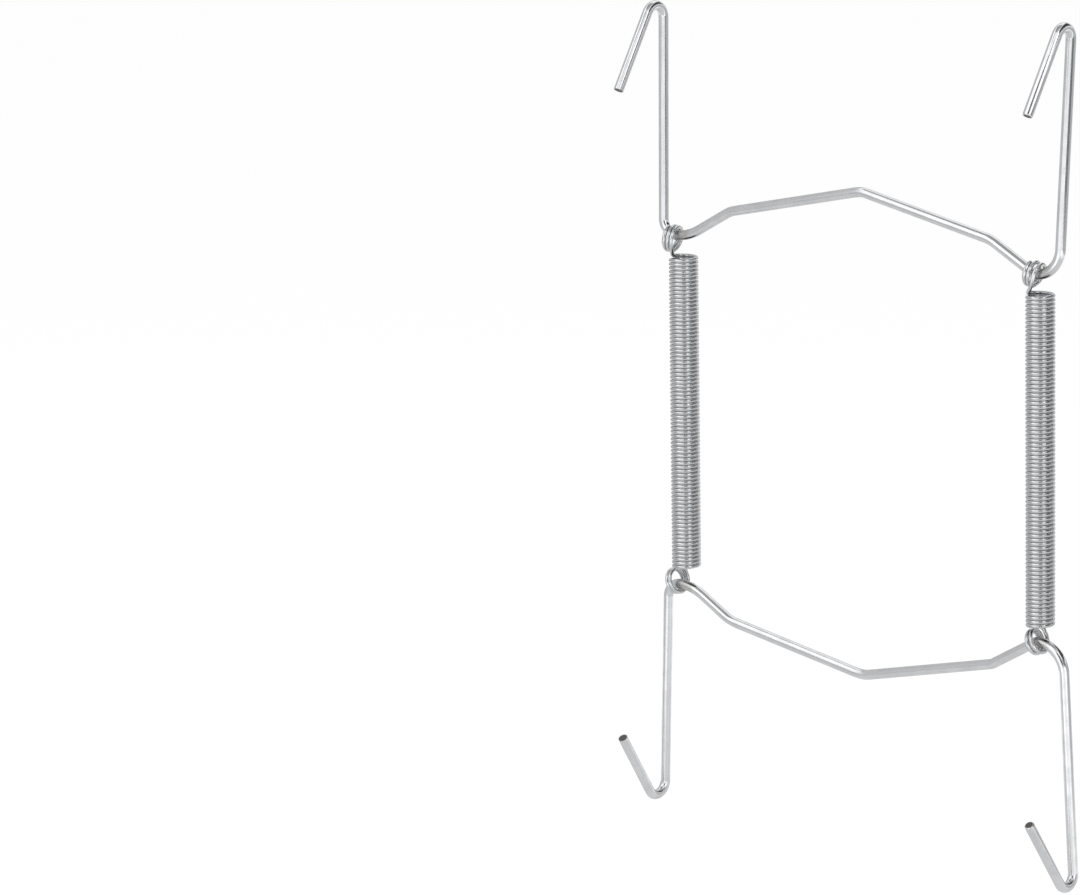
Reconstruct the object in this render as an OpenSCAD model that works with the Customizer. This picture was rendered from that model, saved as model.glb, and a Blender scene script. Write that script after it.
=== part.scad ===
// Spring plate hanger: two bent wire frames, drawn together by a pair of extension springs.
// X runs along the wall, Z is up and the hooks point forward, to -Y.
// The origin is the nail rest, under the peak of the upper arch.

/* [Frame wire] */
// Diameter of the frame wire
wire_d = 1.9; // [1.6:0.1:2.4]

/* [Arch] */
// Angle that the long runs slope down from the peak
peak_slope = 12; // [8:1:18]
// Straight length of each long run
long_run = 30.2; // [24:0.1:50]
// Angle that the short runs slope down from the knees
knee_slope = 30; // [24:1:34]
// Straight length of each short run
short_run = 10.1; // [7:0.1:16]
// Centre-line radius of the peak and knee bends
arch_bend_r = 4; // [3:0.5:8]

/* [Arms] */
// Centre-line radius of the seat bends, which carry the spring eyes
seat_bend_r = 4.4; // [4:0.1:6]
// Angle that the arms lean outwards
arm_flare = 2.4; // [0:0.2:5]
// Straight length of each arm
arm_len = 38; // [25:0.5:70]

/* [Hooks] */
// Centre-line radius of the hook bends
hook_bend_r = 2.5; // [2:0.1:4]
// Angle between an arm and its return leg
hook_angle = 32; // [20:1:45]
// Straight length of each return leg
hook_leg = 16; // [8:0.5:24]

/* [Springs] */
// Diameter of the spring wire
spring_wire_d = 0.75; // [0.6:0.05:0.8]
// Outer diameter of the wound body
spring_od = 5.8; // [5:0.1:7]
// Length of the wound body at rest
spring_len = 61.5; // [55:0.5:90]
// Curls in each wound body
spring_curls = 38; // [30:1:40]
// Height of an eye's centre beyond the end of the wound body
eye_reach = 3; // [2.8:0.1:4.5]
// Turns in each eye
eye_turns = 2.4; // [1.4:0.1:2.4]
// Spacing of the turns in an eye
eye_pitch = 1.2; // [1.2:0.05:1.4]

/* [Clearances] */
// Room all round the frame wire inside an eye
eye_room = 0.65; // [0.6:0.05:1]
// Gap left between an eye and the frame wire that it pulls on
eye_gap = 0.12; // [0.05:0.01:0.3]

/* [Hidden] */
$fn = 48;

// Rings in one curl of a body, rings in one turn of an eye, and sides of the spring wire
CURL_RINGS = 8;
EYE_RINGS = 12;
SPRING_SIDES = 6;
// Largest step round a bend of the frame wire, and sides of the bent wire
BEND_STEP = 12;
BENT_SIDES = 16;
// Share of a turn in which the spring wire passes from the body to the eye
LIFT = 0.5;
BRIGHT = [0.80, 0.81, 0.82];
SATIN = [0.70, 0.71, 0.72];

// The bent wire's flats lie just outside the round wire of the return legs, which start inside its end
bent_r = wire_d / 2 / cos(180 / BENT_SIDES) + 0.01;
collar = 1;

// The lowest point of a seat bend, from the peak of the centre line
seat_x = arch_bend_r * sin(knee_slope) + long_run * cos(peak_slope) + short_run * cos(knee_slope)
    + seat_bend_r * sin(knee_slope);
arch_drop = arch_bend_r * (1 - cos(knee_slope)) + long_run * sin(peak_slope) + short_run * sin(knee_slope)
    + seat_bend_r * (1 - cos(knee_slope));
// An eye sits where its seat bend is as steep as the short run
eye_tilt = knee_slope;
eye_x = -seat_bend_r * sin(eye_tilt);
axle_z = wire_d / 2 - arch_drop + seat_bend_r * (1 - cos(eye_tilt));

// Sizes of the spring's centre line
coil_r = (spring_od - spring_wire_d) / 2;
coil_pitch = (spring_len - spring_wire_d) / spring_curls;
body_end_z = (spring_len - spring_wire_d) / 2;
eye_r = wire_d / 2 + eye_room + spring_wire_d / 2;
eye_width = eye_turns * eye_pitch;
// The seat bend rises towards the ends of the eye, so the eye hangs lower by what is left of its room
bend_rise = pow((eye_width + spring_wire_d) / 2, 2) / (2 * seat_bend_r);
eye_hang = max(0, eye_room - eye_gap - bend_rise);
eye_axis = [cos(eye_tilt), 0, -sin(eye_tilt)];
eye_up = [sin(eye_tilt), 0, cos(eye_tilt)];
eye_centre = [eye_x - eye_hang * sin(eye_tilt), 0, spring_len / 2 + eye_reach];

// Height of the hanger's middle, where its upper and lower halves mirror each other
middle_z = axle_z - eye_hang * cos(eye_tilt) - eye_reach - spring_len / 2;

// Direction in the plane of the wall at an angle above +X
function heading(a) = [cos(a), 0, sin(a)];

function last(p) = p[len(p) - 1];

// Points round a bend in the plane of the wall, from one heading to another
function turn(p, from, to, r) = let (k = to > from ? r : -r, n = ceil(abs(to - from) / BEND_STEP)) [
    for (i = [0 : n]) let (a = from + (to - from) * i / n)
        p + k * [sin(a) - sin(from), 0, cos(from) - cos(a)]
];

// The wire's centre line from the peak to where the return leg begins
arm_dir = heading(90 - arm_flare);
leg_dir = -cos(hook_angle) * arm_dir - sin(hook_angle) * [0, 1, 0];
peak_bend = turn([0, 0, wire_d / 2], 0, -peak_slope, arch_bend_r);
knee_bend = turn(last(peak_bend) + long_run * heading(-peak_slope), -peak_slope, -knee_slope, arch_bend_r);
seat_bend = turn(last(knee_bend) + short_run * heading(-knee_slope), -knee_slope, 90 - arm_flare, seat_bend_r);
arm_end = last(seat_bend) + arm_len * arm_dir;
hook_turn = 180 - hook_angle;
hook_steps = ceil(hook_turn / BEND_STEP);
hook_bend = [
    for (i = [0 : hook_steps]) let (a = hook_turn * i / hook_steps)
        arm_end + hook_bend_r * (sin(a) * arm_dir - (1 - cos(a)) * [0, 1, 0])
];
leg_start = last(hook_bend);
half_wire_path = concat(peak_bend, knee_bend, seat_bend, hook_bend, [leg_start + collar * leg_dir]);
wire_path = concat(
    [for (i = [len(half_wire_path) - 1 : -1 : 1]) let (p = half_wire_path[i]) [-p.x, p.y, p.z]],
    half_wire_path
);

// True round wire along the return leg, out of the end of the bent wire
module return_leg() {
    translate(leg_start)
        rotate([0, acos(leg_dir.z), atan2(leg_dir.y, leg_dir.x)])
            translate([0, 0, collar / 2])
                cylinder(h = hook_leg - collar / 2, d = wire_d);
}

module upper_wire() {
    color(BRIGHT) {
        polyhedron(rings(wire_path, bent_r, BENT_SIDES), skin(len(wire_path), BENT_SIDES), convexity = 10);
        return_leg();
        mirror([1, 0, 0])
            return_leg();
    }
}

module lower_wire() {
    translate([0, 0, 2 * middle_z])
        mirror([0, 0, 1])
            upper_wire();
}

function smooth(t) = let (u = min(1, max(0, t))) u * u * (3 - 2 * u);

// Centre line of the body and of the eye at an angle counted from where the body ends
function body_point(a) = [-coil_r * cos(a), -coil_r * sin(a), body_end_z + coil_pitch * a / 360];

function eye_point(a) = eye_centre + (eye_width / 2 - eye_pitch * a / 360) * eye_axis
    - eye_r * cos(a) * eye_up - eye_r * sin(a) * [0, 1, 0];

function coil_point(a) = let (share = smooth(a / (360 * LIFT) + 0.5))
    (1 - share) * body_point(a) + share * eye_point(a);

// Upper half of the centre line, with a straight end
function half_path() = let (
    body_angles = [for (a = [-180 * spring_curls : 360 / CURL_RINGS : -91]) a],
    eye_angles = [for (a = [-90 : 360 / EYE_RINGS : 360 * eye_turns]) a],
    points = [for (a = concat(body_angles, eye_angles)) coil_point(a)],
    last = points[len(points) - 1],
    before = points[len(points) - 2]
) concat(points, [last + spring_wire_d * unit(last - before)]);

// The lower half is the upper one turned about X, so the winding keeps its hand
function whole_path(half) = concat(
    [for (i = [len(half) - 1 : -1 : 1]) [half[i].x, -half[i].y, -half[i].z]],
    half
);

function unit(v) = v / norm(v);

// Direction that halves the corner of a path at one of its points
function tangent(p, i) =
    i == 0 ? unit(p[1] - p[0]) :
    i == len(p) - 1 ? unit(p[i] - p[i - 1]) :
    unit(unit(p[i + 1] - p[i]) + unit(p[i] - p[i - 1]));

function across(n, t) = unit(n - (n * t) * t);

// Directions across a path, carried along it without twist
function normals(p) = [
    for (i = 0, n = across([1, 0.2, 0.3], tangent(p, 0)); i < len(p);
        i = i + 1, n = i < len(p) ? across(n, tangent(p, i)) : n) n
];

// Rings of points round a path, and the triangles that close them into a tube
function rings(p, r, sides) = let (n = normals(p)) [
    for (i = [0 : len(p) - 1]) let (b = cross(tangent(p, i), n[i]))
        for (k = [0 : sides - 1]) let (a = 360 * k / sides)
            p[i] + r * (cos(a) * n[i] + sin(a) * b)
];

function skin(count, s) = let (end = (count - 1) * s) concat(
    [for (k = [1 : s - 2]) [0, k, k + 1]],
    [for (k = [1 : s - 2]) [end, end + k + 1, end + k]],
    [for (i = [0 : count - 2], k = [0 : s - 1]) [i * s + k, (i + 1) * s + k, i * s + (k + 1) % s]],
    [for (i = [0 : count - 2], k = [0 : s - 1]) [i * s + (k + 1) % s, (i + 1) * s + k, (i + 1) * s + (k + 1) % s]]
);

// Least distance between turns, from points that are more than half a turn apart along the wire
function self_gap(p, r) = min([
    for (i = [0 : len(p) - 1]) for (j = [i + CURL_RINGS * 0.75 : 1 : len(p) - 1]) norm(p[i] - p[j])
]) - 2 * r;

spring_path = whole_path(half_path());

module spring() {
    color(SATIN)
        polyhedron(rings(spring_path, spring_wire_d / 2, SPRING_SIDES), skin(len(spring_path), SPRING_SIDES), convexity = 10);
}

module left_spring() {
    translate([-seat_x, 0, middle_z])
        spring();
}

module right_spring() {
    translate([seat_x, 0, middle_z])
        spring();
}

echo(seat_x = seat_x, axle_z = axle_z, middle_z = middle_z);
echo(least_gap_of_the_spring_wire_to_itself = self_gap(spring_path, spring_wire_d / 2));
echo(triangles_in_both_springs = 2 * len(skin(len(spring_path), SPRING_SIDES)));
echo(leg_start = leg_start, leg_dir = leg_dir);

upper_wire();
lower_wire();
left_spring();
right_spring();
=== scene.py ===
"""Spring plate hanger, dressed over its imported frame.

Two bent wire frames are drawn together by a pair of close-wound extension springs. Each
wire is fed out and bent in edit mode as on a bending jig, and each spring is wound and
then has its two eyes turned round the frame wires. Sizes are in millimetres.
"""

import logging
import math
from dataclasses import dataclass, field
from enum import Enum

import bmesh
import bpy
from bpy.types import Material, Mesh, Node, NodeSocket, NodeTree, Object
from mathutils import Euler, Matrix, Vector
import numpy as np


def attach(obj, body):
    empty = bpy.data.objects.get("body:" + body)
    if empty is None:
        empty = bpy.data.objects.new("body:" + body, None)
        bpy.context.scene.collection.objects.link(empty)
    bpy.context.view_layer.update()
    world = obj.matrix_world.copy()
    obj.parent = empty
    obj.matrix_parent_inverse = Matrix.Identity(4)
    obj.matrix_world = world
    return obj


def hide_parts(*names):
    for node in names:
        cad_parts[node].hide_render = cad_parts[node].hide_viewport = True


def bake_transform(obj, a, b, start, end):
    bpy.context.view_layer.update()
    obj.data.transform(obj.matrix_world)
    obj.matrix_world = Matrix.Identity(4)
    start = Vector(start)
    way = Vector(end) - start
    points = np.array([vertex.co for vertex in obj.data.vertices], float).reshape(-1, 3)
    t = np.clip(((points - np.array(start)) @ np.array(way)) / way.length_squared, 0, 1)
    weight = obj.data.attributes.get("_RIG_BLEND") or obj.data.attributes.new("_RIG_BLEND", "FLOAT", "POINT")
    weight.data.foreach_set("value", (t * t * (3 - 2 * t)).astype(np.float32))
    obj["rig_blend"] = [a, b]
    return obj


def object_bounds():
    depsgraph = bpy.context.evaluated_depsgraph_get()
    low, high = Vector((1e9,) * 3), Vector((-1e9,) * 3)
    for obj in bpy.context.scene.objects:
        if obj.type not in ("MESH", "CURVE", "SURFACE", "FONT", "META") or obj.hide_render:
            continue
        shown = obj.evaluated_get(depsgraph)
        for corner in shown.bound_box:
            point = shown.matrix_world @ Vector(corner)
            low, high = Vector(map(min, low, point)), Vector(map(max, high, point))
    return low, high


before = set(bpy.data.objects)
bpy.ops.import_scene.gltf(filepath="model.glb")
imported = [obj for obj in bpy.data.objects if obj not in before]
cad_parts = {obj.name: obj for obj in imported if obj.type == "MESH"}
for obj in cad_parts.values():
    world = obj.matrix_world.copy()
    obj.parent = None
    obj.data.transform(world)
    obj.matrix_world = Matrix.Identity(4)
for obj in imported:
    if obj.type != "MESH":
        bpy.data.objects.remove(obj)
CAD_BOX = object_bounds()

log = logging.getLogger("plate_hanger")

MM = 0.001
EAST, BACKWARD, UPWARD = Vector((1, 0, 0)), Vector((0, 1, 0)), Vector((0, 0, 1))
ORIGIN, WHITE = (0, 0, 0), (1, 1, 1, 1)
# Turns smaller than this are left out
NO_TURN = 1e-9

WIRE_DIAMETER, SPRING_WIRE_DIAMETER = 1.9, 0.75
# Height of the hanger's middle, halfway between the two frames
MIDDLE_Z = -44.7996


class Half(Enum):
    """The upper and the lower frame, which mirror each other about the middle."""

    UPPER = 1
    LOWER = -1


class MaterialSlot(Enum):
    """Names for the two finishes, which nothing in the script uses."""

    FRAME_WIRE = "frame_wire"
    SPRING_WIRE = "spring_wire"


def smooth(value: float) -> float:
    """Eases from 0 to 1 and holds still beyond both ends.

    Args:
        value: Share of the way.

    Returns:
        The eased share.
    """
    held = min(1.0, max(0.0, value))
    return held * held * (3 - 2 * held)


def linear(code: str) -> tuple[float, float, float, float]:
    """Turns an sRGB hex colour into Blender's linear one.

    Args:
        code: Six hex digits after a hash.

    Returns:
        Red, green, blue and a full alpha.
    """
    parts = [int(code[i : i + 2], 16) / 255 for i in (1, 3, 5)]
    return (*[c / 12.92 if c <= 0.04045 else ((c + 0.055) / 1.055) ** 2.4 for c in parts], 1.0)


def add_node(tree: NodeTree, kind: str, inputs: dict | None = None, **settings) -> Node:
    """Adds one node to a tree.

    Args:
        tree: Tree that the node joins.
        kind: Blender's name of the node type.
        inputs: Value or output socket for each input, by name or number.
        **settings: The node's own properties.

    Returns:
        The new node.
    """
    node = tree.nodes.new(kind)
    for key, value in settings.items():
        setattr(node, key, value)
    for key, value in (inputs or {}).items():
        if isinstance(value, NodeSocket):
            tree.links.new(value, node.inputs[key])
        else:
            node.inputs[key].default_value = value
    return node


def new_material(name: str) -> tuple[Material, NodeTree]:
    """Starts a material that has no nodes yet.

    Args:
        name: Name of the material.

    Returns:
        The material and its tree.
    """
    made = bpy.data.materials.new(name)
    made.use_nodes = True
    made.node_tree.nodes.clear()
    return made, made.node_tree


def noise(tree: NodeTree, place: NodeSocket, scale: float, detail: float) -> NodeSocket:
    """Adds a noise to a tree.

    Args:
        tree: Tree that the node joins.
        place: Where the noise is read.
        scale: Its waves in one unit of place.
        detail: Finer layers on top of them.

    Returns:
        The output, from 0 to 1.
    """
    inputs = {"Vector": place, "Scale": scale, "Detail": detail}
    return add_node(tree, "ShaderNodeTexNoise", inputs).outputs["Fac"]


def ramp(
    tree: NodeTree, value: NodeSocket, span: tuple[float, float], most: float = 1.0
) -> NodeSocket:
    """Rises smoothly from 0 while a value crosses a span.

    Args:
        tree: Tree that the node joins.
        value: The value.
        span: Value where the rise starts, and value where it is over.
        most: Height of the rise.

    Returns:
        The output.
    """
    return add_node(
        tree,
        "ShaderNodeMapRange",
        {"Value": value, "From Min": span[0], "From Max": span[1], "To Max": most},
        interpolation_type="SMOOTHSTEP",
    ).outputs["Result"]


# ---------------------------------------------------------------- wire


def add_ring(name: str, diameter: float, sides: int) -> Object:
    """Starts a wire as one ring at the origin, in edit mode.

    Args:
        name: Name of the wire.
        diameter: Its diameter.
        sides: Sides of its section.

    Returns:
        The wire.
    """
    bpy.ops.object.select_all(action="DESELECT")
    bpy.ops.mesh.primitive_circle_add(
        vertices=sides, radius=diameter / 2 * MM, fill_type="NOTHING", enter_editmode=True
    )
    bpy.context.object.name = name
    return bpy.context.object


@dataclass
class BendingJig:
    """Round wire that is fed out of a jig and bent on the way, in edit mode.

    Attributes:
        name: Name of the piece.
        diameter: Wire diameter.
        sides: Sides of the wire's section.
        heading: Direction in which the wire leaves.
        place: Middle of the ring that was made last.
        length: Wire fed so far, where the first ring counts as this much.
        bend_step: Largest turn between two rings, in degrees.
        marks: Length of wire at each ring.
    """

    name: str
    diameter: float
    sides: int
    heading: Vector
    place: Vector = field(default_factory=Vector)
    length: float = 0.0
    bend_step: float = 6.0
    marks: list[float] = field(default_factory=list)

    def take_over(self, ring: Object) -> None:
        """Goes on from a ring that another tool has made.

        Args:
            ring: Object that holds nothing but the ring.
        """
        bpy.ops.object.select_all(action="DESELECT")
        ring.select_set(True)
        bpy.context.view_layer.objects.active = ring
        ring.name = self.name
        bpy.ops.object.mode_set(mode="EDIT")
        bpy.ops.mesh.select_all(action="SELECT")
        self.marks.append(self.length)

    def clamp(self) -> None:
        """Makes the first ring, square to the heading."""
        add_ring(self.name, self.diameter, self.sides)
        axis = UPWARD.cross(self.heading)
        if axis.length > NO_TURN:
            self._turn_ring(UPWARD.angle(self.heading), axis.normalized())
        bpy.ops.transform.translate(value=self.place * MM)
        self.marks.append(self.length)

    def _turn_ring(self, angle: float, axis: Vector) -> None:
        """Turns the chosen ring about the origin, by three turns about the frame's axes.

        Args:
            angle: Turn in radians.
            axis: Axis of the turn.
        """
        turn = Matrix.Rotation(angle, 3, axis).to_euler("XYZ")
        for value, letter in zip(turn, "XYZ"):
            if abs(value) > NO_TURN:
                # With no window this operator turns the other way
                bpy.ops.transform.rotate(value=-value, orient_axis=letter, center_override=ORIGIN)

    def straight(self, length: float) -> None:
        """Feeds straight wire.

        Args:
            length: Length to feed.
        """
        if not length:
            return
        step = self.heading * length
        bpy.ops.mesh.extrude_region_move(TRANSFORM_OT_translate={"value": step * MM})
        self.place = self.place + step
        self.length += length
        self.marks.append(self.length)

    def bend(self, radius: float, heading: Vector) -> None:
        """Bends the wire round a peg until it has a new heading.

        Args:
            radius: Centre-line radius of the bend.
            heading: The new heading.
        """
        inward = (heading - self.heading * heading.dot(self.heading)).normalized()
        axis, peg = self.heading.cross(inward), self.place + inward * radius
        angle = self.heading.angle(heading)
        steps = math.ceil(math.degrees(angle) / self.bend_step)
        # The spin operator turns the other way about its axis
        bpy.ops.mesh.spin(steps=steps, angle=angle, center=peg * MM, axis=-axis)
        self.place = peg + Matrix.Rotation(angle, 3, axis) @ (self.place - peg)
        self.heading = heading.copy()
        for _ in range(steps):
            self.length += angle / steps * radius
            self.marks.append(self.length)

    def lead(self, path: list[Vector]) -> None:
        """Leads thin wire through points, turning the ring a little at each one.

        Args:
            path: Points that follow the ring made last.
        """
        points = [self.place, *path]
        for i in range(1, len(points)):
            ahead = points[min(i + 1, len(points) - 1)] - points[i - 1]
            axis = self.heading.cross(ahead)
            angle = self.heading.angle(ahead)
            axis = axis.normalized() if axis.length > NO_TURN else UPWARD
            bpy.ops.mesh.spin(steps=1, angle=angle, center=self.place * MM, axis=-axis)
            self.heading = ahead.normalized()
            step = points[i] - self.place
            bpy.ops.transform.translate(value=step * MM)
            self.place = points[i].copy()
            self.length += step.length
            self.marks.append(self.length)

    def cut(self, burr: float) -> None:
        """Cuts the wire off: its edge is drawn in a little by the cutter and the end is closed.

        Args:
            burr: Width of the drawn-in edge.
        """
        # The edge rounds over slowly at first, and then by most of its own width
        slightly, mostly = 0.985, 1 - 1.4 * burr / self.diameter
        for share, scale in ((0.35, slightly), (0.65, mostly)):
            self.straight(burr * share)
            bpy.ops.transform.resize(value=(scale,) * 3, center_override=self.place * MM)
        bpy.ops.mesh.edge_face_add()

    def release(self, backwards: bool = False) -> Object:
        """Leaves edit mode and notes where each point lay on the straight wire.

        Args:
            backwards: Whether the wire was led against its length.

        Returns:
            The wire as an object at the origin.
        """
        bpy.ops.object.mode_set(mode="OBJECT")
        wire = bpy.context.object
        marks = [-mark for mark in self.marks] if backwards else self.marks
        note_drawn_wire(wire, marks, self.diameter / 2, self.sides)
        return wire


def note_drawn_wire(wire: Object, marks: list[float], radius: float, sides: int) -> None:
    """Stores each point's place on the wire as it was drawn, before any bending.

    Args:
        wire: Mesh made of rings, in the order in which they were made.
        marks: Length of wire at each ring.
        radius: Radius of the wire.
        sides: Points in a ring.
    """
    attributes = wire.data.attributes
    drawn = attributes.get("drawn") or attributes.new("drawn", "FLOAT_VECTOR", "POINT")
    for i, value in enumerate(drawn.data):
        angle = 2 * math.pi * (i % sides) / sides
        mark = marks[min(i // sides, len(marks) - 1)]
        value.vector = Vector((radius * math.cos(angle), radius * math.sin(angle), mark)) * MM


def choose_ring(mesh: Mesh, first: int, count: int) -> None:
    """Selects one ring of a mesh in edit mode, and nothing else.

    Args:
        mesh: Mesh that is being edited.
        first: Number of the ring's first point.
        count: Points in the ring.
    """
    bpy.ops.mesh.select_all(action="DESELECT")
    shape = bmesh.from_edit_mesh(mesh)
    shape.verts.ensure_lookup_table()
    for vertex in shape.verts[first : first + count]:
        vertex.select_set(True)
    shape.select_flush(True)
    bmesh.update_edit_mesh(mesh)


def close_up(piece: Object, seam: float, crease: float) -> None:
    """Joins a piece's seams, turns its faces outwards and shades it smooth.

    Args:
        piece: Piece to finish, alone selected.
        seam: Distance within which points join.
        crease: Largest angle that is shaded smooth, in degrees.
    """
    bpy.ops.object.mode_set(mode="EDIT")
    bpy.ops.mesh.select_all(action="SELECT")
    bpy.ops.mesh.remove_doubles(threshold=seam * MM)
    bpy.ops.mesh.normals_make_consistent(inside=False)
    bpy.ops.object.mode_set(mode="OBJECT")
    bpy.ops.object.shade_smooth_by_angle(angle=math.radians(crease))


@dataclass(frozen=True)
class Seat:
    """A seat bend, as one side of the hanger sees it.

    Attributes:
        x: Place along X of its point nearest the middle.
        reach: Height of that point above the middle, or depth below it.
        radius: Centre-line radius of the part of the bend to the left of that point.
    """

    x: float
    reach: float
    radius: float


@dataclass(frozen=True)
class ArmSide:
    """One side of a frame wire, from the peak of its arch to the cut end of its hook.

    Attributes:
        peak_slope: Angle that the long run slopes from the peak, in degrees.
        knee_slope: Angle that the short run slopes from the knee, in degrees.
        flare: Angle that the arm leans outwards, in degrees.
        lean: Angle that the arm leans backwards, in degrees.
        hook_angle: Angle between the arm and the return leg, in degrees.
        radii: Centre-line radii of the peak, the knee, the seat's inner part, its outer part
            and the hook.
        lengths: Straight lengths of the long run, short run, seat, arm and return leg.
    """

    peak_slope: float
    knee_slope: float
    flare: float
    lean: float
    hook_angle: float
    radii: tuple[float, float, float, float, float]
    lengths: tuple[float, float, float, float, float]

    def directions(self) -> tuple[Vector, Vector, Vector, Vector, Vector]:
        """Gives the directions of the straight stretches, as on the right-hand side.

        Returns:
            Long run, short run, the level seat, arm and return leg, each away from the peak.
        """
        long_run, short_run = (
            Vector((math.cos(math.radians(slope)), 0, -math.sin(math.radians(slope))))
            for slope in (self.peak_slope, self.knee_slope)
        )
        flare, lean, hook = (math.radians(a) for a in (self.flare, self.lean, self.hook_angle))
        upright = math.cos(lean)
        arm = Vector((math.sin(flare) * upright, math.sin(lean), math.cos(flare) * upright))
        forward = (-BACKWARD + arm * arm.y).normalized()
        leg = forward * math.sin(hook) - arm * math.cos(hook)
        return long_run, short_run, EAST, arm, leg

    def seat_place(self) -> tuple[float, float]:
        """Finds the seat bend's point nearest the hanger's middle.

        Returns:
            How far outwards and how far towards the middle it lies from the peak.
        """
        peak, knee = math.radians(self.peak_slope), math.radians(self.knee_slope)
        peak_radius, knee_radius, seat_radius = self.radii[:3]
        long_run, short_run = self.lengths[:2]
        out = peak_radius * math.sin(peak) + long_run * math.cos(peak)
        out += knee_radius * (math.sin(knee) - math.sin(peak)) + short_run * math.cos(knee)
        out += seat_radius * math.sin(knee)
        down = peak_radius * (1 - math.cos(peak)) + long_run * math.sin(peak)
        down += knee_radius * (math.cos(peak) - math.cos(knee)) + short_run * math.sin(knee)
        down += seat_radius * (1 - math.cos(knee))
        return out, down


@dataclass
class FrameWire:
    """One frame: arch, seats, arms and hooks, all of one wire.

    Attributes:
        name: Name of the piece.
        node: Solid that it stands for.
        body: Body that it rides on.
        half: Whether it is the upper or the lower frame.
        left: Sizes of its left side.
        right: Sizes of its right side.
        shift: Place of the peak along X.
        drop: How far the peak lies inside its nominal height.
        sides: Sides of the wire's section.
        burr: Width of the edge that the cutter draws in at the last end.
    """

    name: str
    node: str
    body: str
    half: Half
    left: ArmSide
    right: ArmSide
    shift: float
    drop: float
    sides: int = 32
    burr: float = 0.16

    def build(self) -> Object:
        """Bends the wire from the left hook's cut end to the right one's.

        Returns:
            The frame wire.
        """
        # On the left the wire runs towards the peak, so each direction is mirrored and reversed
        left = [Vector((d.x, -d.y, -d.z)) for d in self.left.directions()]
        jig = BendingJig(self.name, WIRE_DIAMETER, self.sides, left[4])
        jig.clamp()
        jig.straight(self.left.lengths[4])
        radii, lengths = self.left.radii[::-1], self.left.lengths[3::-1]
        for heading, radius, length in zip(left[3::-1], radii, lengths):
            jig.bend(radius, heading)
            jig.straight(length)
        jig.bend(self.left.radii[0], EAST)
        peak = jig.place.copy()
        directions = self.right.directions()
        for heading, radius, length in zip(directions, self.right.radii, self.right.lengths):
            jig.bend(radius, heading)
            jig.straight(length)
        jig.cut(self.burr)
        wire = jig.release()
        self._set_in_place(wire, Vector((self.shift, 0, WIRE_DIAMETER / 2 - self.drop)) - peak)
        return wire

    def seat(self, side: int) -> Seat:
        """Gives the seat bend of one side.

        Args:
            side: -1 for the left side, 1 for the right one.

        Returns:
            The bend, in its place.
        """
        arm_side = self.left if side < 0 else self.right
        out, down = arm_side.seat_place()
        top = WIRE_DIAMETER / 2 - self.drop - MIDDLE_Z
        # The bend's left part is the outer one on the left side, and the inner one on the right
        inner, outer = arm_side.radii[2:4]
        return Seat(self.shift + side * out, top - down, outer if side < 0 else inner)

    def _set_in_place(self, wire: Object, move: Vector) -> None:
        """Closes the first end, and puts the peak in its place.

        Args:
            wire: Wire as it came off the jig.
            move: Way from where it lies to its place.
        """
        bpy.ops.object.mode_set(mode="EDIT")
        choose_ring(wire.data, 0, self.sides)
        bpy.ops.mesh.edge_face_add()
        bpy.ops.mesh.select_all(action="SELECT")
        bpy.ops.transform.translate(value=move * MM)
        if self.half is Half.LOWER:
            bpy.ops.transform.mirror(
                constraint_axis=(False, False, True), center_override=(0, 0, MIDDLE_Z * MM)
            )
        bpy.ops.object.mode_set(mode="OBJECT")
        close_up(wire, seam=0.0005, crease=40)

    def dress(self, wire: Object, finish: "Finish") -> None:
        """Gives the wire its finish and its body, and hides the solid that it stands for.

        Args:
            wire: The frame wire.
            finish: Its finish.
        """
        wire.data.materials.append(finish.material())
        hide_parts(self.node)
        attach(wire, self.body)


# ---------------------------------------------------------------- springs


@dataclass(frozen=True)
class Eye:
    """An eye at the end of a spring, a short coil that is wound round a frame wire.

    Attributes:
        bend: Seat bend that it hangs on.
        slope: Slope of the seat bend where the eye hangs, in degrees.
        yaw: Turn of the eye about the vertical, in degrees.
        radius: Radius of its centre line.
        pitch: Spacing of its turns.
        hang: How far the eye's middle hangs from the frame wire's, towards the body.
        leave: Angle at which the wire leaves the body, in degrees.
        arrive: Angle at which it lies in the eye, in degrees.
        spread: How much further its first turn strays to the side.
        turns: Turns of wire in the eye, counted from where it is next to the body.
    """

    bend: Seat
    slope: float
    yaw: float
    radius: float
    pitch: float
    hang: float
    leave: float
    arrive: float
    spread: float = 0.0
    turns: float = 2.45

    def point(self, angle: float) -> Vector:
        """Gives a point of the eye's centre line, as on the upper frame.

        Args:
            angle: Angle from its lowest point, in degrees.

        Returns:
            The point, from the middle of the height and at the frame's own place along X.
        """
        slope, a = math.radians(self.slope), math.radians(angle)
        turn = Matrix.Rotation(math.radians(self.yaw), 3, "Z")
        axis = turn @ Vector((math.cos(slope), 0, -math.sin(slope)))
        up = turn @ Vector((math.sin(slope), 0, math.cos(slope)))
        rise = Vector((-math.sin(slope), 0, 1 - math.cos(slope)))
        seat = Vector((self.bend.x, 0, self.bend.reach)) + rise * self.bend.radius
        stray = self.spread * math.sin(math.radians(min(max(angle, 0), 360)) / 2) ** 2
        along = self.pitch * (self.turns / 2 - angle / 360) + stray
        around = axis.cross(up) * math.sin(a) - up * math.cos(a)
        return seat - up * self.hang + axis * along + around * self.radius


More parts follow.
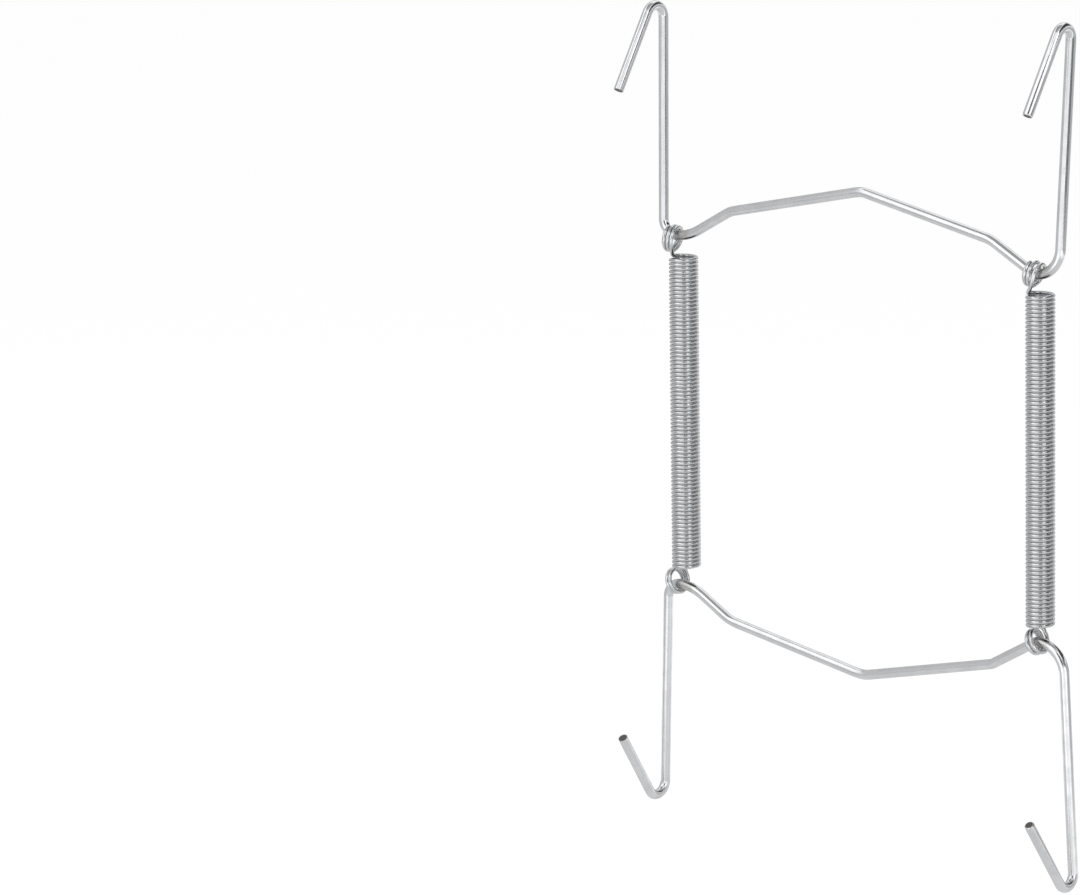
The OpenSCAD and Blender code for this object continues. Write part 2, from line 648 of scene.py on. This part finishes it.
@dataclass
class ExtensionSpring:
    """A close-wound extension spring with an eye at each end.

    Attributes:
        name: Name of the piece.
        node: Solid that it stands for.
        upper_x: Place of its body's upper end along X.
        lower_x: Place of its body's lower end along X.
        upper_eye: Eye on the upper frame.
        lower_eye: Eye on the lower frame.
        outer: Outer diameter of the body.
        wire: Wire diameter.
        body_length: Length of the body.
        settle: How far the body's middle lies below the hanger's.
        coils: Turns of wire in the body.
        burr: Width of the edge that the cutter draws in at each end.
        sides: Sides of the wire's section.
        steps: Rings in one turn of the body.
        eye_steps: Rings in one turn of an eye.
    """

    name: str
    node: str
    upper_x: float
    lower_x: float
    upper_eye: Eye
    lower_eye: Eye
    outer: float
    wire: float = SPRING_WIRE_DIAMETER
    body_length: float = 61.2
    settle: float = 0.15
    coils: int = 80
    burr: float = 0.08
    sides: int = 12
    steps: int = 36
    eye_steps: int = 24

    @property
    def radius(self) -> float:
        """Radius of the body's centre line."""
        return (self.outer - self.wire) / 2

    @property
    def end_z(self) -> float:
        """Height of the body's last centre line above the middle."""
        return (self.body_length - self.wire) / 2

    @property
    def pitch(self) -> float:
        """Spacing of the body's coils, which all but touch."""
        return 2 * self.end_z / self.coils

    @property
    def wound(self) -> float:
        """Length of wire in the body between its two eyes."""
        turns = self.coils + (self.upper_eye.leave + self.lower_eye.leave) / 360
        return math.hypot(2 * math.pi * self.radius, self.pitch) * turns

    @property
    def middle_x(self) -> float:
        """Place of the body's middle along X."""
        return (self.upper_x + self.lower_x) / 2

    @property
    def lean(self) -> float:
        """Angle that the spring leans from the upright, in radians."""
        return math.atan2(self.upper_x - self.lower_x, 2 * self.end_z)

    def body_point(self, angle: float) -> Vector:
        """Gives a point of the body's upper half.

        Args:
            angle: Angle past the end of the body, in degrees.

        Returns:
            The point, from the spring's middle.
        """
        a, rise = math.radians(angle), self.pitch * angle / 360
        return Vector((-self.radius * math.cos(a), -self.radius * math.sin(a), self.end_z + rise))

    def eye_path(self, half: Half, eye: Eye) -> list[Vector]:
        """Follows the wire out of the body and round an eye.

        Args:
            half: Which end of the spring.
            eye: The eye.

        Returns:
            Points of the upright spring's centre line after the body's last ring.
        """
        end, step = 360 * eye.turns, 360 / self.eye_steps
        count = math.ceil((end - eye.leave) / step)
        upright = Matrix.Rotation(self.lean * half.value, 3, "Y").inverted()
        middle = Vector((self.middle_x, 0, -self.settle * half.value))
        points = []
        for i in range(1, count + 1):
            angle = eye.leave + (end - eye.leave) * i / count
            share = smooth((angle - eye.leave) / (eye.arrive - eye.leave))
            in_eye = upright @ (eye.point(angle) - middle)
            points.append(self.body_point(angle).lerp(in_eye, share))
        return points

    def _wind_body(self) -> Object:
        """Winds the body between the two places where the eyes' wire leaves it.

        Returns:
            The body as an open tube.
        """
        top, bottom = self.upper_eye.leave, self.lower_eye.leave
        # The lower half is the upper one turned over, so it starts on the other side
        start = self.body_point(bottom) * Vector((1, -1, -1))
        turn = 360 * self.coils + top + bottom
        body = add_ring(self.name, self.wire, self.sides)
        # As in the jig, each turn is given the other way round
        bpy.ops.transform.rotate(value=-math.radians(90), orient_axis="X", center_override=ORIGIN)
        bpy.ops.transform.translate(value=(self.radius * MM, 0, 0))
        around = math.atan2(start.y, start.x)
        bpy.ops.transform.rotate(value=-around, orient_axis="Z", center_override=ORIGIN)
        bpy.ops.transform.translate(value=(0, 0, start.z * MM))
        bpy.ops.object.mode_set(mode="OBJECT")
        rings = round(turn / 360 * self.steps)
        winding = body.modifiers.new("winding", "SCREW")
        winding.axis, winding.iterations = "Z", 1
        winding.angle, winding.screw_offset = math.radians(turn), self.pitch * turn / 360 * MM
        winding.steps = winding.render_steps = rings
        winding.use_merge_vertices = False
        bpy.ops.object.modifier_apply(modifier=winding.name)
        marks = [self.wound * i / rings for i in range(rings + 1)]
        note_drawn_wire(body, marks, self.wire / 2, self.sides)
        return body

    def _turn_eye(self, body: Object, half: Half, eye: Eye) -> Object:
        """Leads wire from the body round an eye to its cut end.

        Args:
            body: The body, whose end ring the wire goes on from.
            half: Which end of the spring.
            eye: The eye.

        Returns:
            The eye as a tube that is open where it leaves the body.
        """
        bpy.ops.object.select_all(action="DESELECT")
        body.select_set(True)
        bpy.context.view_layer.objects.active = body
        bpy.ops.object.mode_set(mode="EDIT")
        first = len(body.data.vertices) - self.sides if half is Half.UPPER else 0
        choose_ring(body.data, first, self.sides)
        bpy.ops.mesh.duplicate()
        bpy.ops.mesh.separate(type="SELECTED")
        bpy.ops.object.mode_set(mode="OBJECT")
        ring = next(piece for piece in bpy.context.selected_objects if piece is not body)
        side = Vector((1, half.value, half.value))
        start = self.body_point(eye.leave) * side
        outward = Vector((start.x, start.y, 0)).normalized()
        heading = UPWARD.cross(outward) * half.value
        jig = BendingJig(f"{self.name}_{half.name.lower()}_eye", self.wire, self.sides, heading)
        jig.place = start
        jig.length = self.wound if half is Half.UPPER else 0.0
        jig.take_over(ring)
        jig.lead([point * side for point in self.eye_path(half, eye)])
        jig.cut(self.burr)
        return jig.release(backwards=half is Half.LOWER)

    def build(self) -> Object:
        """Winds the body, turns both eyes and joins them into one wire.

        Returns:
            The spring.
        """
        body = self._wind_body()
        eyes = [
            self._turn_eye(body, Half.UPPER, self.upper_eye),
            self._turn_eye(body, Half.LOWER, self.lower_eye),
        ]
        bpy.ops.object.select_all(action="DESELECT")
        for piece in (body, *eyes):
            piece.select_set(True)
        bpy.context.view_layer.objects.active = body
        bpy.ops.object.join()
        middle = Vector((self.middle_x, 0, MIDDLE_Z - self.settle))
        bpy.ops.object.mode_set(mode="EDIT")
        bpy.ops.mesh.select_all(action="SELECT")
        bpy.ops.transform.rotate(value=-self.lean, orient_axis="Y", center_override=ORIGIN)
        bpy.ops.transform.translate(value=middle * MM)
        bpy.ops.object.mode_set(mode="OBJECT")
        close_up(body, seam=0.002, crease=50)
        return body

    def dress(self, spring: Object, finish: "Finish") -> None:
        """Gives the spring its finish and lets it stretch between its two ends.

        Args:
            spring: The spring.
            finish: Its finish.
        """
        spring.data.materials.append(finish.material())
        reach = self.body_length / 2
        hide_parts(self.node)
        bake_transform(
            spring,
            "upper_spring_ends",
            "lower_spring_ends",
            start=Vector((self.upper_x, 0, MIDDLE_Z + reach)) * MM,
            end=Vector((self.lower_x, 0, MIDDLE_Z - reach)) * MM,
        )


# ---------------------------------------------------------------- finishes

# Span of each pattern's noise over which the pattern rises to its full strength
CLOUD_SPAN, LINE_SPAN, SPECK_SPAN = (0.35, 0.65), (0.4, 0.7), (0.66, 0.76)
# Roughness that cloudy patches and drawing lines add to the clear plating's
CLOUD_ROUGHNESS, LINE_ROUGHNESS = 0.07, 0.1
# Specks are this many times finer than the cloudy patches, and hide this share of the plating
SPECK_FINENESS, SPECK_COVER = 10, 0.5
# Length of the drawing lines in mm, their depth in mm, and the share of it that shows
LINE_LENGTH, LINE_DEPTH, LINE_STRENGTH = 50 / 3, 0.01, 0.1
# Depth of the wire's unevenness, as a share of a cloudy patch's size
UNEVENNESS = 0.003
# On a cut end's sheared face the section is nearer the middle than on the wire's side, at 1
CUT_SPAN = (0.94, 0.86)
# Sheared steel under the plating: grey, and too dull to mirror anything
SHEARED_STEEL, SHEARED_ROUGHNESS = "#6f6d6a", 0.5


@dataclass(frozen=True)
class Finish:
    """Bright nickel plating on drawn steel wire.

    Attributes:
        name: Name of the material.
        bright: Colour of the clear plating.
        dull: Colour where the plating is cloudy.
        worn_and_shaded: Colour where the finish is worn, and the painted shade between a spring's coils.
        radius: Radius of the wire.
        roughness: Roughness of the clear plating.
        worn_roughness: Roughness where it is worn, and in the painted shade between a spring's coils.
        cloud: Size of the cloudy patches.
        line: Width of the drawing lines, coarser than the real ones so that they show.
    """

    name: str
    bright: str
    dull: str
    worn_and_shaded: str
    radius: float
    roughness: float
    worn_roughness: float
    cloud: float
    line: float

    def _wear_and_shade(self, tree: NodeTree, across: NodeSocket) -> NodeSocket:
        """Tells where the frame's finish is worn, and where painted shade falls between a spring's coils.

        Args:
            tree: Tree of the material.
            across: Place in the wire's section, where its side is 1 from the middle.

        Returns:
            Output that is 1 there.
        """
        raise NotImplementedError

    def _patterns(
        self, tree: NodeTree, drawn: NodeSocket
    ) -> tuple[NodeSocket, NodeSocket, NodeSocket]:
        """Lays out the plating's patterns.

        Args:
            tree: Tree of the material.
            drawn: Place on the wire as it was drawn.

        Returns:
            Noise of the cloudy patches, of the specks and of the drawing lines.
        """
        place = add_node(tree, "ShaderNodeTexCoord").outputs["Object"]
        cloud = noise(tree, place, 1 / (self.cloud * MM), 3.0)
        specks = noise(tree, place, SPECK_FINENESS / (self.cloud * MM), 1.0)
        # Drawing lines run along the wire, so their pattern is stretched that way
        waves = (1 / (self.line * MM), 1 / (self.line * MM), 1 / (LINE_LENGTH * MM))
        stretched = add_node(tree, "ShaderNodeMapping", {"Vector": drawn, "Scale": waves})
        return cloud, specks, noise(tree, stretched.outputs["Vector"], 1.0, 2.0)

    def material(self) -> Material:
        """Builds the finish.

        Returns:
            The material, one for each finish.
        """
        made = bpy.data.materials.get(self.name)
        if made:
            return made
        made, tree = new_material(self.name)
        drawn = add_node(tree, "ShaderNodeAttribute", attribute_name="drawn").outputs["Vector"]
        cloud, specks, lines = self._patterns(tree, drawn)
        to_section = (1 / (self.radius * MM), 1 / (self.radius * MM), 0)
        across = add_node(
            tree, "ShaderNodeVectorMath", {0: drawn, 1: to_section}, operation="MULTIPLY"
        ).outputs["Vector"]
        length = add_node(tree, "ShaderNodeVectorMath", {0: across}, operation="LENGTH")
        colour, roughness = linear(self.bright), self.roughness
        for share, shade, dulled in (
            (ramp(tree, cloud, CLOUD_SPAN), self.dull, self.roughness + CLOUD_ROUGHNESS),
            (ramp(tree, lines, LINE_SPAN), self.dull, self.roughness + LINE_ROUGHNESS),
            (ramp(tree, specks, SPECK_SPAN, SPECK_COVER), self.worn_and_shaded, self.worn_roughness),
            # Worn places on the frame wire, and painted shade in the grooves between a spring's coils
            (self._wear_and_shade(tree, across), self.worn_and_shaded, self.worn_roughness),
            (ramp(tree, length.outputs["Value"], CUT_SPAN), SHEARED_STEEL, SHEARED_ROUGHNESS),
        ):
            # A mix node's inputs 6 and 7 and its output 2 are colours, 2, 3 and 0 are numbers
            colour = add_node(
                tree, "ShaderNodeMix", {0: share, 6: colour, 7: linear(shade)}, data_type="RGBA"
            ).outputs[2]
            mixed = add_node(tree, "ShaderNodeMix", {0: share, 2: roughness, 3: dulled})
            roughness = mixed.outputs[0]
        # The rolls that straighten the wire leave it uneven, so that what it mirrors wavers
        depth = self.cloud * UNEVENNESS * MM
        uneven = add_node(
            tree, "ShaderNodeBump", {"Height": cloud, "Strength": 1.0, "Distance": depth}
        ).outputs["Normal"]
        scored = {"Height": lines, "Strength": LINE_STRENGTH, "Distance": LINE_DEPTH * MM}
        bump = add_node(tree, "ShaderNodeBump", {**scored, "Normal": uneven}).outputs["Normal"]
        shader = add_node(
            tree,
            "ShaderNodeBsdfPrincipled",
            {"Base Color": colour, "Metallic": 1.0, "Roughness": roughness, "Normal": bump},
        )
        add_node(tree, "ShaderNodeOutputMaterial", {"Surface": shader.outputs["BSDF"]})
        return made


@dataclass(frozen=True)
class RubbedFinish(Finish):
    """Plating that the springs' eyes have rubbed dull on the seat bends.

    Attributes:
        seat: Distance of the rubbed place from the middle along X.
        reach: How far it reaches along X to each side.
        core: Share of the reach that is rubbed evenly.
        rubbed: Strength of the wear there.
    """

    seat: float = 42.0
    reach: float = 2.4
    core: float = 0.4
    rubbed: float = 0.7

    def _wear_and_shade(self, tree: NodeTree, across: NodeSocket) -> NodeSocket:
        """Tells where the eyes rub, by the place along X.

        Args:
            tree: Tree of the material.
            across: Place in the wire's section, which plays no part here.

        Returns:
            Output that is highest on both seats.
        """
        place = add_node(tree, "ShaderNodeTexCoord").outputs["Object"]
        x = add_node(tree, "ShaderNodeSeparateXYZ", {0: place}).outputs["X"]
        side = add_node(tree, "ShaderNodeMath", {0: x}, operation="ABSOLUTE").outputs[0]
        seat = {0: side, 1: self.seat * MM}
        off = add_node(tree, "ShaderNodeMath", seat, operation="SUBTRACT").outputs[0]
        away = add_node(tree, "ShaderNodeMath", {0: off}, operation="ABSOLUTE").outputs[0]
        return ramp(tree, away, (self.reach * MM, self.reach * self.core * MM), self.rubbed)


@dataclass(frozen=True)
class CoiledFinish(Finish):
    """Plating of a close-wound body, with painted shade in the grooves where the coils meet.

    Attributes:
        groove: Span in the wire's section, from its middle at 0 to its side at 1, that gets the painted
            shade.
        groove_shade: Strength of the painted shade there.
    """

    groove: tuple[float, float] = (0.88, 1.0)
    groove_shade: float = 0.5

    def _wear_and_shade(self, tree: NodeTree, across: NodeSocket) -> NodeSocket:
        """Tells where the painted shade between the coils falls, by the place in the wire's section.

        Args:
            tree: Tree of the material.
            across: Place in the wire's section, where its side is 1 from the middle.

        Returns:
            Output that is highest in the grooves.
        """
        # Painted shade: the wire's sides, where the coils meet, are darkened towards the worn colour
        y = add_node(tree, "ShaderNodeSeparateXYZ", {0: across}).outputs["Y"]
        side = add_node(tree, "ShaderNodeMath", {0: y}, operation="ABSOLUTE").outputs[0]
        return ramp(tree, side, self.groove, self.groove_shade)


# Bright nickel: pale, a little cool, mirror-like with a soft edge to what it mirrors
FRAME_PLATING = RubbedFinish(
    name="bright_plated_drawn_steel", bright="#f3f4f6", dull="#e6e7e9", worn_and_shaded="#c2c0bc",
    radius=WIRE_DIAMETER / 2, roughness=0.13, worn_roughness=0.3, cloud=2.5, line=0.12,
)
# The same bath on spring wire, its colours painted a shade darker as painted shade so that the coils read as
# grey bands; its worn colour is also the painted shade in the grooves
SPRING_PLATING = CoiledFinish(
    name="bright_plated_spring_steel", bright="#e9eaec", dull="#d9dbdd", worn_and_shaded="#98968f",
    radius=SPRING_WIRE_DIAMETER / 2, roughness=0.13, worn_roughness=0.3, cloud=1.2, line=0.08,
)


# ---------------------------------------------------------------- studio


def towards(azimuth: float, elevation: float) -> Vector:
    """Gives the direction to something that stands round the hanger.

    Args:
        azimuth: Degrees from straight in front, positive to the right.
        elevation: Degrees above the horizon.

    Returns:
        The direction.
    """
    a, e = math.radians(azimuth), math.radians(elevation)
    return Vector((math.sin(a) * math.cos(e), -math.cos(a) * math.cos(e), math.sin(e)))


@dataclass(frozen=True)
class Stand:
    """Something on a stand, turned to the hanger's middle.

    Attributes:
        name: Name of the lamp or board.
        azimuth: Degrees from straight in front, positive to the right.
        elevation: Degrees above the hanger's middle.
        distance: Distance from the hanger's middle, in metres.
        width: Width in metres.
        height: Height in metres.
        level: Brightness of its face, where 1 is white.
    """

    name: str
    azimuth: float
    elevation: float
    distance: float
    width: float
    height: float
    level: float

    def stance(self) -> dict[str, Vector | Euler]:
        """Turns it to the hanger's middle.

        Returns:
            Where it stands and how it is turned, for the operator that adds it.
        """
        back = towards(self.azimuth, self.elevation)
        return {
            "location": Vector((0, 0, MIDDLE_Z * MM)) + back * self.distance,
            "rotation": back.to_track_quat("Z", "Y").to_euler(),
        }


class SoftBox(Stand):
    """A soft lamp, which the wire mirrors as bright as its level and the background together."""

    def place(self) -> None:
        """Adds the lamp."""
        bpy.ops.object.light_add(type="AREA", **self.stance())
        lamp = bpy.context.object
        lamp.name = self.name
        lamp.data.shape = "RECTANGLE"
        lamp.data.size, lamp.data.size_y = self.width, self.height
        lamp.data.energy = self.level * math.pi * self.width * self.height


class Board(Stand):
    """A grey or dark board, or a lit card, that the wire mirrors and the camera doesn't see."""

    def place(self) -> None:
        """Adds the board."""
        bpy.ops.object.select_all(action="DESELECT")
        bpy.ops.mesh.primitive_plane_add(size=1, enter_editmode=True)
        bpy.ops.transform.resize(value=(self.width, self.height, 1), center_override=ORIGIN)
        bpy.ops.object.mode_set(mode="OBJECT")
        board, stance = bpy.context.object, self.stance()
        board.name = self.name
        board.location, board.rotation_euler = stance["location"], stance["rotation"]
        made, tree = new_material(self.name)
        face = add_node(tree, "ShaderNodeEmission", {"Color": WHITE, "Strength": self.level})
        add_node(tree, "ShaderNodeOutputMaterial", {"Surface": face.outputs[0]})
        board.data.materials.append(made)
        board.visible_camera = board.visible_diffuse = board.visible_shadow = False


@dataclass(frozen=True)
class PhotoCamera:
    """The camera, at the photograph's viewing angle.

    Attributes:
        azimuth: Degrees from straight in front, positive to the right.
        elevation: Degrees above the horizon.
        roll: Turn about the line of sight, in degrees.
        across: Place to the right of the hanger's middle, as the camera sees it.
        upright: Place above it.
        back: Distance from it.
        focal_length: Focal length in the photograph's pixels.
        image_width: Width of the photograph in pixels.
        sensor_width: Width of the sensor.
        clip: Nearest and furthest distance that it sees, in metres.
    """

    azimuth: float = 42.509
    elevation: float = 10.35
    roll: float = -0.95
    across: float = -59.2
    upright: float = -2.305
    back: float = 796.482
    focal_length: float = 4285.83
    image_width: float = 1080
    sensor_width: float = 36.0
    clip: tuple[float, float] = (0.01, 50)

    def place(self) -> None:
        """Adds the camera."""
        roll, back = math.radians(self.roll), towards(self.azimuth, self.elevation)
        right = towards(self.azimuth + 90, 0)
        up = back.cross(right)
        across = right * math.cos(roll) + up * math.sin(roll)
        upright = up * math.cos(roll) - right * math.sin(roll)
        middle = Vector((0, 0, MIDDLE_Z))
        spot = middle + across * self.across + upright * self.upright + back * self.back
        bpy.ops.object.camera_add()
        camera = bpy.context.object
        camera.name = "photo_camera"
        turn = Matrix((across, upright, back)).transposed().to_4x4()
        camera.matrix_world = Matrix.Translation(spot * MM) @ turn
        camera.data.sensor_width = self.sensor_width
        camera.data.lens = self.focal_length / self.image_width * self.sensor_width
        camera.data.clip_start, camera.data.clip_end = self.clip
        bpy.context.scene.camera = camera


@dataclass(frozen=True)
class Studio:
    """Pale floor, white background, soft lamps, boards and the camera.

    Attributes:
        floor_size: Length and width of the floor, in metres.
        floor_drop: Depth of the floor below the hanger, in metres.
        floor_colour: Colour of the paper on the floor.
        floor_glow: Light that the paper gives the rays that see it, where 1 is white.
        room_colour: Colour of the light that the room gives.
        stands: Lamps and boards.
    """

    floor_size: float = 20
    floor_drop: float = 0.1
    floor_colour: str = "#ececec"
    floor_glow: float = 0.5
    room_colour: str = "#c8c8c8"
    # Each one's azimuth, elevation, distance, width, height and level
    stands: tuple[Stand, ...] = (
        SoftBox("front_softbox", -18, 34, 1.0, 1.06, 0.89, 0.35),
        SoftBox("right_softbox", 74, 32, 1.0, 0.5, 0.9, 0.6),
        Board("left_board", -92, 0, 0.7, 2.1, 1.8, 0.55),
        Board("left_near_board", -48, -8, 0.42, 0.37, 0.26, 0.55),
        Board("right_board", 128, -20, 0.6, 1.0, 0.8, 0.48),
        Board("right_high_board", 128, 41, 0.6, 1.0, 0.4, 0.05),
        Board("right_flag", 85, 9.3, 0.2, 0.14, 0.065, 0.15),
        Board("back_board", 190, 5, 0.9, 0.9, 1.1, 0.7),
        Board("camera_stand", 38, 23.5, 0.9, 0.45, 0.57, 0.04),
        Board("top_board", 20, 80, 0.8, 0.8, 0.8, 0.34),
        Board("front_card", 4, -16, 0.3, 0.1, 0.11, 1.4),
        Board("side_card", 74, -7, 0.3, 0.09, 0.09, 1.7),
        Board("ground_board", 0, -89, 0.17, 0.68, 0.68, 0.66),
    )

    def _sees_background(self, tree: NodeTree) -> NodeSocket:
        """Tells the camera's rays, and those that metal and glass send on, from the rest.

        Args:
            tree: Tree of the floor or the world.

        Returns:
            Output that is 1 for those rays.
        """
        path = add_node(tree, "ShaderNodeLightPath")
        either = add_node(
            tree,
            "ShaderNodeMath",
            {0: path.outputs["Is Camera Ray"], 1: path.outputs["Is Glossy Ray"]},
            operation="MAXIMUM",
        ).outputs[0]
        return add_node(
            tree,
            "ShaderNodeMath",
            {0: either, 1: path.outputs["Is Transmission Ray"]},
            operation="MAXIMUM",
        ).outputs[0]

    def floor(self) -> None:
        """Lays the floor, pale for the camera and softly shaded under the hanger."""
        low = CAD_BOX[0].z - self.floor_drop
        bpy.ops.object.select_all(action="DESELECT")
        bpy.ops.mesh.primitive_plane_add(size=self.floor_size, location=(0, 0, low))
        floor = bpy.context.object
        floor.name = "studio_floor"
        # Matt paper, which the camera sees as nearly white with a soft shadow on it
        made, tree = new_material("studio_paper")
        paper = add_node(tree, "ShaderNodeBsdfDiffuse", {"Color": linear(self.floor_colour)})
        seen = self._sees_background(tree)
        glow = add_node(tree, "ShaderNodeMath", {0: seen, 1: self.floor_glow}, operation="MULTIPLY")
        light = add_node(tree, "ShaderNodeEmission", {"Color": WHITE, "Strength": glow.outputs[0]})
        both = add_node(tree, "ShaderNodeAddShader", {0: paper.outputs[0], 1: light.outputs[0]})
        add_node(tree, "ShaderNodeOutputMaterial", {"Surface": both.outputs[0]})
        floor.data.materials.append(made)

    def background(self) -> None:
        """Makes the world white to the camera and in reflections, and pale to everything else."""
        world = bpy.data.worlds.new("studio")
        bpy.context.scene.world = world
        world.use_nodes = True
        tree = world.node_tree
        tree.nodes.clear()
        room, white = (
            add_node(tree, "ShaderNodeBackground", {"Color": colour, "Strength": 1.0}).outputs[0]
            for colour in (linear(self.room_colour), WHITE)
        )
        seen = self._sees_background(tree)
        both = add_node(tree, "ShaderNodeMixShader", {0: seen, 1: room, 2: white})
        add_node(tree, "ShaderNodeOutputWorld", {"Surface": both.outputs[0]})

    def build(self) -> None:
        """Sets up the whole studio."""
        bpy.context.scene.view_settings.view_transform = "Standard"
        self.floor()
        self.background()
        for stand in self.stands:
            stand.place()
        PhotoCamera().place()


# ---------------------------------------------------------------- hanger

# The wires are bent by hand, so no two of their sides are quite alike
FRAMES = (
    FrameWire(
        "upper_frame_wire", "upper_wire", "upper_frame", Half.UPPER,
        left=ArmSide(
            peak_slope=10.80, knee_slope=27.83, flare=-0.46, lean=0.32, hook_angle=30.64,
            radii=(7.45, 6.5, 12.1, 3.1, 2.50), lengths=(29.59, 7.91, 0, 38.31, 16.42),
        ),
        right=ArmSide(
            peak_slope=12.70, knee_slope=29.30, flare=2.75, lean=0.39, hook_angle=29.2,
            radii=(4.61, 6.0, 2.2, 5.10, 2.29), lengths=(28.16, 9.65, 0, 37.25, 15.52),
        ),
        shift=0.827, drop=0.298,
    ),
    FrameWire(
        "lower_frame_wire", "lower_wire", "lower_frame", Half.LOWER,
        left=ArmSide(
            peak_slope=10.48, knee_slope=30.63, flare=2.20, lean=0.12, hook_angle=33.84,
            radii=(10.04, 10.0, 11.5, 3.0, 2.50), lengths=(29.40, 6.03, 0, 37.06, 14.97),
        ),
        right=ArmSide(
            peak_slope=12.35, knee_slope=29.40, flare=2.60, lean=1.14, hook_angle=32.97,
            radii=(5.87, 2.80, 2.4, 5.51, 2.30), lengths=(28.76, 10.33, 0, 36.71, 15.36),
        ),
        shift=1.012, drop=0.231,
    ),
)
SPRINGS = (
    ExtensionSpring(
        "left_coil_spring", "left_spring", upper_x=-42.3, lower_x=-42.35, outer=5.7,
        upper_eye=Eye(
            FRAMES[0].seat(-1),
            slope=9.6, yaw=10.5, radius=2.38, pitch=0.8, hang=0.74, leave=-10, arrive=70,
        ),
        lower_eye=Eye(
            FRAMES[1].seat(-1),
            slope=12.5, yaw=4, radius=2.29, pitch=0.78, hang=0.64, leave=-10, arrive=70,
        ),
    ),
    ExtensionSpring(
        "right_coil_spring", "right_spring", upper_x=41.2, lower_x=41.55, outer=5.4,
        upper_eye=Eye(
            FRAMES[0].seat(1), slope=14.1, yaw=3.9, radius=2.14, pitch=0.78, hang=0.08,
            leave=10, arrive=100, spread=0.48,
        ),
        lower_eye=Eye(
            FRAMES[1].seat(1), slope=16.8, yaw=-1, radius=2.13, pitch=0.78, hang=0.12,
            leave=20, arrive=100, spread=0.48,
        ),
    ),
)


def main() -> None:
    """Builds the studio and the hanger's four pieces, and reports each one."""
    logging.basicConfig(level=logging.INFO, format="%(name)s: %(message)s")
    Studio().build()
    parts = [(wire, FRAME_PLATING) for wire in FRAMES]
    parts += [(spring, SPRING_PLATING) for spring in SPRINGS]
    for part, finish in parts:
        piece = part.build()
        part.dress(piece, finish)
        points, faces = len(piece.data.vertices), len(piece.data.polygons)
        log.info("%s: %d points, %d faces", piece.name, points, faces)


if __name__ == "__main__":
    main()
